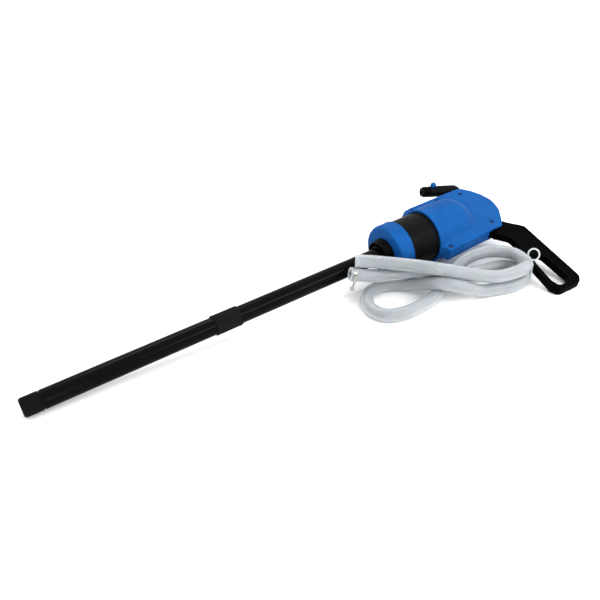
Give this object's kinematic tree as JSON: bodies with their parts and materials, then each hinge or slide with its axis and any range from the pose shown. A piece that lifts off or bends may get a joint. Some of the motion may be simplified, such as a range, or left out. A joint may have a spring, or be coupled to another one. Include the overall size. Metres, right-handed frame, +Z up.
{
  "type": "lever drum pump",
  "caption": "Hand lever drum pump lying down: foot valve, suction tubes, bung nut, barrel, split housing, cranked D-grip lever, swivel spout and loose corrugated hose.",
  "frame": {"origin": "middle of the pump's footprint on the floor it lies on, without the loose hose", "axes": "+X along the suction tube towards the head, -Y towards the lever, +Z up from the floor"},
  "size_m": [1.0479, 0.3973, 0.1225],
  "materials": {
    "black_moulding": "satin injection-moulded polypropylene",
    "black_tube": "smooth extruded tube with a soft sheen",
    "matte_sleeve": "fine matte texture",
    "blue_moulding": "satin blue polypropylene",
    "lever_black": "textured moulding",
    "steel": "turned stainless steel",
    "seal_rubber": "smooth moulded rubber",
    "white_nylon": "machined nylon",
    "clear_hose": "milky translucent polyethylene",
    "clear_tie": "translucent film strap",
    "zinc_clamp": "zinc-plated steel"
  },
  "bodies": {
    "pump_body": {"foot_valve_body": "black_moulding", "inlet_strainer": "black_moulding", "foot_valve_cage": "black_moulding", "lower_tube": "black_tube", "tube_coupling": "matte_sleeve", "upper_tube": "black_tube", "bung_adaptor": "black_moulding", "adaptor_gasket": "seal_rubber", "barrel": "black_moulding", "barrel_cap": "black_moulding", "rod_bush": "white_nylon", "rod_seal": "seal_rubber", "pivot_sleeve": "steel", "upper_shell": "blue_moulding", "lower_shell": "blue_moulding", "shell_screws": "steel", "outlet_duct": "black_moulding", "spout_oring": "seal_rubber", "hose": "clear_hose", "clamp_band": "zinc_clamp", "hose_tie": "clear_tie"},
    "foot_ball": {"foot_valve_ball": "white_nylon"},
    "bung_nut": {"union_nut": "blue_moulding"},
    "piston_set": {"piston": "black_moulding", "piston_seal": "seal_rubber", "valve_stop": "steel", "piston_nut": "steel", "piston_rod": "steel", "rod_end": "black_moulding"},
    "piston_flap": {"piston_valve": "seal_rubber"},
    "hand_lever": {"lever": "lever_black", "crank_pin": "steel"},
    "spout_arm": {"spout": "black_moulding", "hose_tail": "black_moulding"},
    "vent_valve": {"vent_knob": "blue_moulding"},
    "thumb_screw": {"clamp_screw": "zinc_clamp"}
  },
  "joints": [
    {"name": "lever_swing", "type": "hinge", "parent": "pump_body", "child": "hand_lever", "pos_m": [0.46335, 0.02019, 0.05764], "axis": [-0.0512, -0.2185, 0.9745], "range_deg": [0, 55]},
    {"name": "piston_stroke", "type": "slide", "parent": "pump_body", "child": "piston_set", "axis": [-0.9986, 0, -0.0525], "range_m": [0, 0.0481]},
    {"name": "piston_flap_lift", "type": "slide", "parent": "piston_set", "child": "piston_flap", "axis": [0.9986, 0, 0.0525], "range_m": [0, 0.0045]},
    {"name": "foot_ball_lift", "type": "slide", "parent": "pump_body", "child": "foot_ball", "axis": [0.9986, 0, 0.0525], "range_m": [0, 0.006]},
    {"name": "bung_nut_turn", "type": "hinge", "parent": "pump_body", "child": "bung_nut", "pos_m": [0.22212, 0.068, 0.05568], "axis": [0.9986, 0, 0.0525], "continuous": true},
    {"name": "spout_swivel", "type": "hinge", "parent": "pump_body", "child": "spout_arm", "pos_m": [0.48876, 0.15192, 0.08852], "axis": [-0.0115, 0.9758, 0.2182], "range_deg": [-90, 90]},
    {"name": "vent_lift", "type": "slide", "parent": "spout_arm", "child": "vent_valve", "axis": [-0.0512, -0.2185, 0.9745], "range_m": [0, 0.004]},
    {"name": "thumb_screw_turn", "type": "hinge", "parent": "pump_body", "child": "thumb_screw", "pos_m": [0.09076, 0.02281, 0.04596], "axis": [0.2022, -0.0986, 0.9744], "continuous": true}
  ],
  "couplings": [
    {"joint": "piston_stroke", "follows": "lever_swing", "m_per_rad": 0.05}
  ]
}
